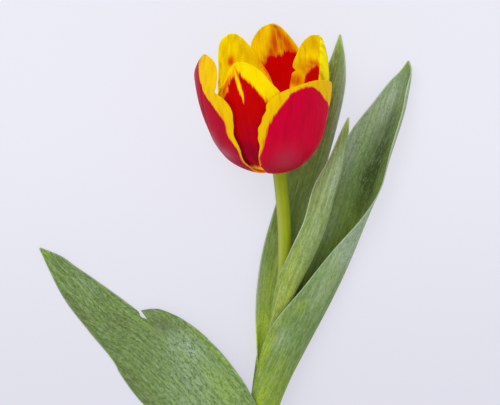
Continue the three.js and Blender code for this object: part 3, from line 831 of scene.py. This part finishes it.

# %% [markdown]
# ## Where a leaf changes colour
#
# A leaf's waxy bloom, its worn patches and its fresh yellow-green lines are soft
# spots along the blade, and so are painted shade in its folds and in the stem's
# shadow, a painted highlight on a curled margin and painted light in shaded places.
# Painting weights by hand would do it. As hills on the leaf's own u and v they can
# be listed, read and moved.
# %% Leaf fields and pieces
TORN_EDGE = 2
LEAF_SPOTS = {
    "leaf_lowest": {
        "waxy_and_painted_highlight": [
            (0.5, 0.52, 0.35, 0.06, 0.9), (0.2, 0.44, 0.5, 0.1, 0.6),
            (-0.2, 0.4, 0.4, 0.1, 0.5), (0.45, 0.85, 0.4, 0.04, 0.3),
        ],
        "fresh_and_painted_light": [
            (0.97, 0.45, 0.14, 0.12, 0.8), (0.6, 0.38, 0.5, 0.06, 0.6), (0, 0.99, 1, 0.03),
            (0.35, 0.51, 0.08, 0.02, 0.6), (0, 0.3, 0.8, 0.08, 0.8),
        ],
        # Darker green, partly painted shade where the lower-left half turns away from the light.
        "deep_and_painted_shade": [
            (-0.95, 0.6, 0.3, 0.2), (-0.9, 0.82, 0.5, 0.08), (0.1, 0.72, 0.5, 0.05, 0.7),
            (0.6, 0.605, 0.4, 0.025), (0.9, 0.56, 0.12, 0.05, 0.7), (0.55, 0.8, 0.4, 0.03, 0.4),
        ],
        "rusty": [(-0.98, 0.55, 0.06, 0.2, 0.5)],
    },
    "leaf_large": {
        "waxy_and_painted_highlight": [
            (-0.6, 0.82, 0.5, 0.12), (-0.9, 0.66, 0.3, 0.1),
            (0.9, 0.8, 0.4, 0.12), (-0.78, 0.46, 0.2, 0.05, 0.5),
        ],
        # Painted shade: dark green along the fold beside the keel and under the folded-over half.
        "deep_and_painted_shade": [
            (-0.18, 0.745, 0.18, 0.06, 1.5), (-0.12, 0.68, 0.24, 0.06, 1.3), (-0.06, 0.6, 0.28, 0.07, 1.7),
            (-0.14, 0.53, 0.24, 0.06, 1.3), (-0.25, 0.42, 0.3, 0.08), (-0.45, 0.91, 0.16, 0.05, 0.5),
        ],
        # The last fresh spot is painted light that lifts the shadow the small leaf casts.
        "fresh_and_painted_light": [(-0.9, 0.97, 0.6, 0.03), (-0.3, 0.42, 0.6, 0.12, 0.5), (-0.92, 0.335, 0.16, 0.06, 0.9)],
        "waxy_and_painted_highlight_back": [
            (0.9, 0.5, 0.4, 0.12), (0.6, 0.32, 0.25, 0.05, 0.5), (0.78, 0.2, 0.16, 0.02, 0.6),
            (1, 0.82, 0.8, 0.25), (0.5, 0.42, 0.5, 0.07),
        ],
        "deep_and_painted_shade_back": [(0.88, 0.205, 0.05, 0.012), (0.85, 0.155, 0.12, 0.02, 0.35)],
        "fresh_and_painted_light_back": [(0.78, 0.265, 0.12, 0.014, 0.7), (0.6, 0.09, 0.8, 0.08), (0.95, 0.17, 0.15, 0.05)],
        "rusty_back": [(1, 0.12, 0.04, 0.08)],
    },
    "leaf_small": {
        # The first waxy spot is a painted highlight along the curled right margin.
        "waxy_and_painted_highlight": [(0.95, 0.45, 0.35, 0.35), (0.1, 0.7, 0.6, 0.12, 0.9), (-0.2, 0.5, 0.3, 0.08, 0.4)],
        "fresh_and_painted_light": [(0, 0.1, 1, 0.18), (0, 0.98, 1, 0.05), (-0.6, 0.3, 0.3, 0.1, 0.6)],
        "deep_and_painted_shade": [(-0.7, 0.6, 0.2, 0.08, 0.5), (-0.2, 0.84, 0.3, 0.05, 0.5)],
        "rusty": [(-1, 0.74, 0.12, 0.14), (-0.8, 0.12, 0.3, 0.12, 0.4)],
    },
    "leaf_tall": {
        "waxy_and_painted_highlight": [(0.95, 0.8, 0.3, 0.16), (0.5, 0.84, 0.2, 0.06, 0.6), (-1, 0.28, 0.2, 0.1)],
        # The last fresh spot is painted light in a steep, shaded part near the base.
        "fresh_and_painted_light": [(-0.5, 0.28, 0.35, 0.08, 0.7), (0, 0.99, 1, 0.03), (-0.6, 0.15, 0.8, 0.1, 1.8)],
        # Darker green, partly painted shade; the last four spots are a painted shadow of the stem.
        "deep_and_painted_shade": [
            (0.2, 0.5, 0.7, 0.07), (-0.7, 0.39, 0.3, 0.04, 0.5), (0.4, 0.9, 0.3, 0.04, 0.5),
            (-0.5, 0.375, 0.14, 0.035), (-0.38, 0.32, 0.14, 0.035),
            (-0.27, 0.26, 0.12, 0.035), (-0.2, 0.2, 0.1, 0.03),
        ],
        "rusty": [(-0.3, 0.86, 0.45, 0.09), (0.2, 0.74, 0.35, 0.06)],
    },
}


def build_leaf(name):
    """One leaf as a shell.

    Its thickness is LEAF_THICKNESS * (1 - 0.5 |u|^6) * (1 - 0.3 v^10), so it thins to
    its margins and its tip. Spots are listed for both faces, or for the back on
    their own. The margin field is the distance to the margin in millimetres, for the
    pale rim. A torn edge has no such rim, so the distance is raised there.
    """
    leaf = LEAVES[name]
    grid, normals, u, v, width = leaf_sheet(leaf, *leaf["grid"])
    thickness = LEAF_THICKNESS * (1 - 0.5 * np.abs(u) ** 6) * (1 - 0.3 * v ** 10)
    fields = {}
    for key in ("waxy_and_painted_highlight", "fresh_and_painted_light", "deep_and_painted_shade", "rusty"):
        listed = LEAF_SPOTS[name].get(key, [])
        fields[key] = (spots(listed, u, v), spots(LEAF_SPOTS[name].get(f"{key}_back", listed), u, v))
    margin = (1 - np.abs(u)) * width
    if "tear" in leaf:
        margin = margin + TORN_EDGE * (u > 0) * bump(v, leaf["tear"]["at"], 0.03)
    fields["margin"] = (margin, margin)
    uv = np.stack([u * width / 10, v * leaf_length(leaf) / 10], -1)
    return stand_in(sheet_object(f"dressed_{name}", grid, normals, thickness, fields, uv), name)


LEAF_PIECES = {name: build_leaf(name) for name in LEAVES}
print_sizes(LEAF_PIECES)

# %% [markdown]
# ## Leaf green
#
# A tulip leaf is blue-green and waxy, with fine parallel veins, a pale rim and
# small flecks. One recipe serves all four: greens mixed by the spots and by noise
# drawn out along the blade. The veins are a bump, being far finer than the mesh.
# %% Leaf finish
# Per leaf: flecks, lines, patchiness and rim, and the greens base, deep green with
# painted shade, waxy green with painted highlight, fresh green with painted light, and dark.
LEAF_TONES = {
    "leaf_lowest": (
        0.85, 0.3, 1.7, 0.45,
        (130, 158, 88), (104, 118, 68), (166, 188, 158), (142, 176, 58), (78, 102, 46),
    ),
    "leaf_large": (
        0.45, 0.25, 0.6, 0.6,
        (130, 160, 88), (48, 64, 12), (182, 198, 172), (156, 180, 30), (76, 104, 46),
    ),
    "leaf_small": (
        0.45, 0.3, 0.8, 0.95,
        (152, 174, 104), (128, 148, 76), (188, 206, 172), (180, 200, 38), (98, 120, 40),
    ),
    "leaf_tall": (
        0.35, 0.2, 0.8, 0.5,
        (148, 174, 88), (104, 134, 58), (176, 192, 166), (194, 222, 82), (84, 102, 44),
    ),
}


RUSTY_GREEN, RUSTY_SHARE, WORN = (108, 80, 42), 0.6, 0.85
RIM_WIDTH, RIM_STARTS = (0.2, 0.7), (2.5, 5.5)


def leaf_material(name, flecks, lines, patchiness, rim_share, *tones):
    """Four greens and a rusty brown, mixed by the leaf's spots and by drawn-out noise.

    Strokes are two layers of long noise, one pale and one dark, and lines are the
    veins' high and low parts: both show where the noise passes a threshold. The
    pale rim follows the margin and fades out towards the leaf's base.
    """
    mix = Recipe(f"finish_{name}", 0.55, 0.12)
    base, deep_and_painted_shade, waxy_and_painted_highlight, fresh_and_painted_light, dark = (paint(*tone) for tone in tones)
    worn = paint(*(WORN * k for k in tones[0]))
    veins = mix.streaks(10.0, 0.25, distortion=0.2)
    mottle = mix.streaks(9.0, 2.2, detail=5, distortion=0.4)
    broad = mix.streaks(2.6, 0.4, shift=2.0)
    dark_stroke = mix.streaks(15.0, 5.2, detail=5, distortion=1.2, shift=7.0)
    pale_stroke = mix.streaks(15.0, 4.0, detail=5, distortion=1.2, shift=13.0)
    colour = mix.blend(mix.step_up(mottle, 0.35, 0.65), base, worn)
    patchy = mix.plus(mix.times(mix.minus(mottle, 0.5), patchiness), broad)
    # Painted light and shade: deep spots paint shade and the stem's shadow, waxy spots also a highlight,
    # fresh spots also light.
    for key, hue, strength in (("deep_and_painted_shade", deep_and_painted_shade, 0.95), ("waxy_and_painted_highlight", waxy_and_painted_highlight, 0.8), ("fresh_and_painted_light", fresh_and_painted_light, 0.8)):
        share = mix.times(mix.field(key), mix.plus(patchy, 0.45))
        colour = mix.blend(mix.times(share, strength, clamp=True), colour, hue)
    rust = mix.times(mix.field("rusty"), mix.step_up(mottle, 0.3, 0.6))
    colour = mix.blend(mix.times(rust, RUSTY_SHARE), colour, paint(*RUSTY_GREEN))
    for noise, low, high, strength, hue in (
        (dark_stroke, 0.46, 0.62, flecks, dark), (pale_stroke, 0.5, 0.66, 0.5 * flecks, waxy_and_painted_highlight),
        (veins, 0.56, 0.44, lines, dark), (veins, 0.54, 0.7, lines, fresh_and_painted_light),
    ):
        colour = mix.blend(mix.times(mix.step_up(noise, low, high), strength), colour, hue)
    rim = mix.minus(1.0, mix.step_up(mix.field("margin"), *RIM_WIDTH))
    rim = mix.times(rim, mix.step_up(mix.blade("Y"), *RIM_STARTS))
    colour = mix.blend(mix.times(rim, rim_share), colour, waxy_and_painted_highlight)
    return mix.finish(colour, veins, 0.35)


for name, piece in LEAF_PIECES.items():
    piece.data.materials.append(leaf_material(name, *LEAF_TONES[name]))
print("leaf finishes:", len(LEAF_TONES))

# %% [markdown]
# ## Tubes from rings
#
# The stem, the pistil and the stamens are rings of points, joined side by side. The
# Skin modifier would also give tubes, but rings set every radius and rib, and the
# row's two ends can be drawn in to a point and closed.
# %% Rings and rods
POLE_GAP = 1e-7


def angles_of(sides):
    """The angles of a ring's points."""
    return np.linspace(0, 2 * math.pi, sides, endpoint=False)


def rings_round(centres, first, second, radii, angles):
    """Circles: centre + radius * (cos a * first + sin a * second), for every centre."""
    cosine, sine = np.cos(angles)[:, None], np.sin(angles)[:, None]
    out = cosine * first[..., None, :] + sine * second[..., None, :]
    return centres[:, None] + radii[..., None] * out


def loft_object(name, rings, uv):
    """Rings of points joined side by side, each end drawn in to its middle.

    The points of a drawn-in end lie on each other, and are merged to close it.
    """
    sides = rings.shape[1]
    start, end = (np.repeat(ring.mean(axis=1, keepdims=True), sides, 1) for ring in (rings[:1], rings[-1:]))
    points = np.concatenate([start, rings, end]).reshape(-1, 3)
    uv = np.concatenate([uv[:1], uv, uv[-1:]]).reshape(-1, 2)
    index = np.arange(len(points)).reshape(-1, sides)
    turned = np.roll(index, -1, axis=1)
    quads = np.stack([index[:-1], turned[:-1], turned[1:], index[1:]], -1).reshape(-1, 4)
    piece = mesh_object(name, points, quads, {}, uv)
    body = bmesh.new()
    body.from_mesh(piece.data)
    bmesh.ops.remove_doubles(body, verts=body.verts, dist=POLE_GAP)
    body.to_mesh(piece.data)
    body.free()
    print(name, "points merged at its ends:", len(points) - len(piece.data.vertices))
    return piece


def rod(node, rings, scale, angles, travel):
    """A lofted piece that stands for one node; its UV is scale * angle and the travel."""
    uv = np.stack(np.broadcast_arrays(scale * angles[None, :], travel[:, None]), -1)
    return stand_in(loft_object(f"dressed_{node}", rings, uv), node)


# %% [markdown]
# ## The stem
#
# The stem is a soft tube, cut straight at its lower end, that swells into the
# receptacle, the small plate which carries the flower. A bevelled curve gives a
# tube too, but rings along the path keep the swelling, the ribs and the cut end in
# one closed mesh.
# %% Stem piece
STEM_PATH = [
    [13.5, -130, 2.99], [13.5, -105, 4.6], [14, -84.5, 6.4], [15.5, -62, 7.3],
    [17, -40, 7.6], [20.5, -15.5, 7.8], [24, 2.5, 7.8], [26, 16, 7.8],
    [26.5, 29.5, 8.2], [26.2, 42.5, 10], [25.1, 54.5, 13], [23.9, 64.7, 16.5],
]
STEM_RADIUS, RECEPTACLE_RADIUS, COLUMN_RADIUS = 3.0, 4.3, 3.3
RECEPTACLE_TOP, RECEPTACLE_LENGTH, COLUMN_TOP = -0.65, 3.0, 0.88
SEAT_GAP = 0.3
STEM_RIBS, STEM_RIB_HEIGHT, SWELL_SHARE = 9, 0.03, 0.7


def build_stem(rows=320, sides=48):
    """The tube of the stem, then three rings of the receptacle on the flower's axis.

    The tube's radius swells over its last few millimetres by the square of the way
    along them, and ribs add a cosine of several times the angle.
    """
    t = np.linspace(0, 1, rows)
    side = unit(np.cross(heading(STEM_PATH, t), [0, 0, 1.0]))
    up = np.cross(side, heading(STEM_PATH, t))
    length = np.linalg.norm(np.diff(STEM_PATH, axis=0), axis=1).sum()
    swell = np.clip(1 - (1 - t) * length / RECEPTACLE_LENGTH, 0, 1) ** 2
    angles = angles_of(sides)
    ribs = STEM_RIB_HEIGHT * np.cos(STEM_RIBS * angles)
    radii = (STEM_RADIUS + SWELL_SHARE * (RECEPTACLE_RADIUS - STEM_RADIUS) * swell)[:, None] + ribs
    tube = rings_round(smooth(STEM_PATH, t), -up, side, radii, angles)
    centres = flower_points(np.array([RECEPTACLE_TOP, RECEPTACLE_TOP, COLUMN_TOP]), 0.0, 0.0)
    steps = np.array([RECEPTACLE_RADIUS, COLUMN_RADIUS, COLUMN_RADIUS])[:, None]
    plate = rings_round(centres, -FRONT, RIGHT, steps, angles)
    travel = np.concatenate([t * length / 10, np.full(3, length / 10 + 0.1)])
    return rod("stem", np.concatenate([tube, plate]), 0.3, angles, travel), length


STEM_PIECE, STEM_LENGTH = build_stem()
print("stem length", round(STEM_LENGTH, 1), "mm")

# %% [markdown]
# ## Stem green
#
# A fresh tulip stem is yellow-green, paler where its wax is whole and darker
# where it is rubbed. Long drawn-out noise gives the streaks, and the pale cut end
# is picked out by its place along the stem. A painted highlight runs down its left side.
# %% Stem finish
STEM_GREEN, STEM_WAXY, STEM_RUBBED = (148, 162, 10), (150, 165, 36), (118, 138, 12)
STEM_PAINTED_HIGHLIGHT, STEM_CUT, CUT_Y = (172, 182, 92), (196, 204, 140), -0.12985


def stem_material():
    """Greens in long streaks, a painted highlight on the left side, a pale cut end below CUT_Y metres."""
    mix = Recipe("finish_stem", 0.5, 0.15)
    long_streaks = mix.streaks(7.0, 0.18)
    patches = mix.streaks(1.2, 0.35, detail=2, shift=5.0)
    colour = mix.blend(mix.step_up(long_streaks, 0.35, 0.65), paint(*STEM_GREEN), paint(*STEM_WAXY))
    rubbed = mix.times(mix.step_up(patches, 0.45, 0.7), 0.5)
    colour = mix.blend(rubbed, colour, paint(*STEM_RUBBED))
    # Painted highlight: a paler band down the side that faces the key light.
    painted_highlight = mix.times(mix.step_up(mix.blade("X"), 0.98, 1.15), 0.55)
    colour = mix.blend(painted_highlight, colour, paint(*STEM_PAINTED_HIGHLIGHT))
    colour = mix.blend(mix.maths("LESS_THAN", mix.height_y(), CUT_Y), colour, paint(*STEM_CUT))
    return mix.finish(colour, long_streaks, 0.2)


STEM_PIECE.data.materials.append(stem_material())
print("stem finish:", STEM_PIECE.data.materials[0].name)

# %% [markdown]
# ## Pistil
#
# Inside the cup stands the pistil: a three-sided ovary with a three-lobed stigma.
# The Screw modifier would turn a profile, but only round. Here the radius changes
# with height, and a cosine of three times the angle pushes out the lobes.
# %% Pistil
PISTIL_RINGS = [
    [0, 1.1, 0.05], [3, 1.8, 0.08], [9, 2.9, 0.1], [15, 2.7, 0.12],
    [19, 2.1, 0.2], [21, 2.7, 0.42], [22.6, 3.1, 0.5], [23.8, 2.2, 0.45],
]


def plain_finish(name, tone, spot_tone, roughness):
    """One colour with fine grain of a second one."""
    mix = Recipe(name, roughness, 0.25)
    grain = mix.streaks(14.0, 9.0)
    return mix.finish(mix.blend(mix.step_up(grain, 0.4, 0.7), paint(*tone), paint(*spot_tone)), grain, 0.4)


def build_pistil(rows=90, sides=60):
    """radius(height) * (1 + lobes(height) * cos 3a), round the flower's axis."""
    t = np.linspace(0, 1, rows)
    marks = np.linspace(0, 1, len(PISTIL_RINGS))
    height, radius, lobes = (np.interp(t, marks, column) for column in zip(*PISTIL_RINGS))
    angles = angles_of(sides)
    radii = radius[:, None] * (1 + lobes[:, None] * np.cos(3 * angles))
    rings = rings_round(flower_points(COLUMN_TOP + SEAT_GAP + height, 0.0, 0.0), RIGHT, FRONT, radii, angles)
    return rod("pistil", rings, 0.2, angles, height / 10)


PISTIL_FINISH = plain_finish("finish_pistil", (186, 192, 104), (160, 172, 84), 0.5)
build_pistil().data.materials.append(PISTIL_FINISH)
print("pistil height:", PISTIL_RINGS[-1][0], "mm")

# %% [markdown]
# ## Six stamens
#
# Round the pistil stand six stamens, each a filament with a dark anther at its
# tip. An Array could copy them, but each is its own part, so each has its own mesh.
# An anther's radius dips along four lines, between its pollen sacs.
# %% Stamens
STAMENS, FILAMENT_FOOT_RADIUS, FILAMENT_SPLAY = 6, 2.05, 0.26
FILAMENT_LENGTH, FILAMENT_RADIUS = 10.5, 0.45
ANTHER_LENGTH, ANTHER_RADIUS = 12.0, 1.35
ANTHER_SHAPE, GROOVES = [0.45, 0.95, 1, 0.95, 0.5], 0.16


def build_stamen_part(kind, index, start, length, radii, sides, grooves):
    """A filament or an anther: a rod on its stamen's slanting line.

    The radius is radii * (1 - grooves * cos(2a)^8), and grooves is 0 on a filament.
    """
    turn = 2 * math.pi * (index + 0.5) / STAMENS
    s = start + np.linspace(0, 1, len(radii)) * length
    height = COLUMN_TOP + SEAT_GAP + s * math.cos(FILAMENT_SPLAY)
    centres = flower_points(height, FILAMENT_FOOT_RADIUS + s * math.sin(FILAMENT_SPLAY), turn)
    outward = flower_points(0.0, 1.0, turn) - FOOT
    angles = angles_of(sides)
    radii = radii[:, None] * (1 - grooves * np.cos(2 * angles) ** 8)
    rings = rings_round(centres, outward, np.cross(AXIS, outward), radii, angles)
    return rod(f"{kind}_{index + 1}", rings, 0.1, angles, s / 10)


FILAMENT_FINISH = plain_finish("finish_filament", (66, 46, 52), (50, 34, 46), 0.6)
ANTHER_FINISH = plain_finish("finish_anther", (46, 30, 50), (84, 62, 44), 0.8)
FILAMENT_RADII = FILAMENT_RADIUS * np.interp(np.linspace(0, 1, 24), [0, 0.5, 1], [1, 1, 0.6])
ANTHER_RADII = ANTHER_RADIUS * curve(ANTHER_SHAPE, np.linspace(0, 1, 48))
ANTHER_START = FILAMENT_LENGTH + SEAT_GAP
for index in range(STAMENS):
    piece = build_stamen_part("filament", index, 0.0, FILAMENT_LENGTH, FILAMENT_RADII, 16, 0.0)
    piece.data.materials.append(FILAMENT_FINISH)
    piece = build_stamen_part("anther", index, ANTHER_START, ANTHER_LENGTH, ANTHER_RADII, 32, GROOVES)
    piece.data.materials.append(ANTHER_FINISH)
print("stamens:", STAMENS)

# %% [markdown]
# ## The table
#
# The tulip lies on a pale table, which keeps its colours true. A white plane would
# do, but a real table is seldom lit evenly, so this one glows a little more towards
# the top.
# %% Table
TABLE_HALF, TABLE_COLOUR = 1.2, (124, 124, 128)
TABLE_NEAR, TABLE_FAR, TABLE_GLOW = (220, 220, 232), (235, 235, 245), 0.75


def build_floor():
    """A wide flat square at height 0, with a soft step in its glow across it."""
    h = TABLE_HALF
    mesh = bpy.data.meshes.new("table")
    mesh.from_pydata([(-h, -h, 0), (h, -h, 0), (h, h, 0), (-h, h, 0)], [], [(0, 1, 2, 3)])
    floor = new_object("table", mesh)
    mix = Recipe("finish_table", 0.8, 0.05)
    mix.shader.inputs["Base Color"].default_value = paint(*TABLE_COLOUR)
    glow = mix.blend(mix.step_up(mix.height_y(), -0.06, 0.1), paint(*TABLE_NEAR), paint(*TABLE_FAR))
    mix.plug(glow, mix.shader.inputs["Emission Color"])
    mix.shader.inputs["Emission Strength"].default_value = TABLE_GLOW
    mesh.materials.append(mix.material)


build_floor()
print("table side:", 2 * TABLE_HALF, "m")

# %% [markdown]
# ## Light and camera
#
# Spotlights would draw hard shadows. An even pale sky fills them, and one wide area
# light from the upper left shapes the petals. The camera looks straight down
# through a long lens, so that raised parts look hardly larger.
# %% Sky, lamp and camera
SKY_COLOUR, SKY_STRENGTH = (0.97, 0.97, 1.0, 1.0), 0.8


def area_light(name, place, aim, size, power):
    """A square light at place, in metres, that faces the point aim."""
    data = bpy.data.lights.new(name, "AREA")
    data.shape, data.size, data.energy = "SQUARE", size, power
    lamp = new_object(name, data)
    lamp.location = place
    direction = np.array(aim) - np.array(place)
    slope = np.arccos(-direction[2] / np.linalg.norm(direction))
    lamp.rotation_euler = (slope, 0.0, np.arctan2(direction[1], direction[0]) - math.pi / 2)


world = bpy.data.worlds.new("pale_sky")
world.use_nodes = True
world.node_tree.nodes["Background"].inputs["Color"].default_value = SKY_COLOUR
world.node_tree.nodes["Background"].inputs["Strength"].default_value = SKY_STRENGTH
bpy.context.scene.world = world
area_light("key", (-0.55, 0.75, 1.15), (0.0, 0.05, 0.0), 0.9, 8.0)
bpy.context.scene.view_settings.view_transform = "Standard"

lens = bpy.data.cameras.new("camera")
lens.sensor_width, lens.lens = 36.0, 144.0
lens.clip_start, lens.clip_end = 0.01, 10.0
camera = new_object("camera", lens)
camera.location = (0.011, 0.0505, 0.9)
bpy.context.scene.camera = camera
print("camera height:", camera.location.z, "m")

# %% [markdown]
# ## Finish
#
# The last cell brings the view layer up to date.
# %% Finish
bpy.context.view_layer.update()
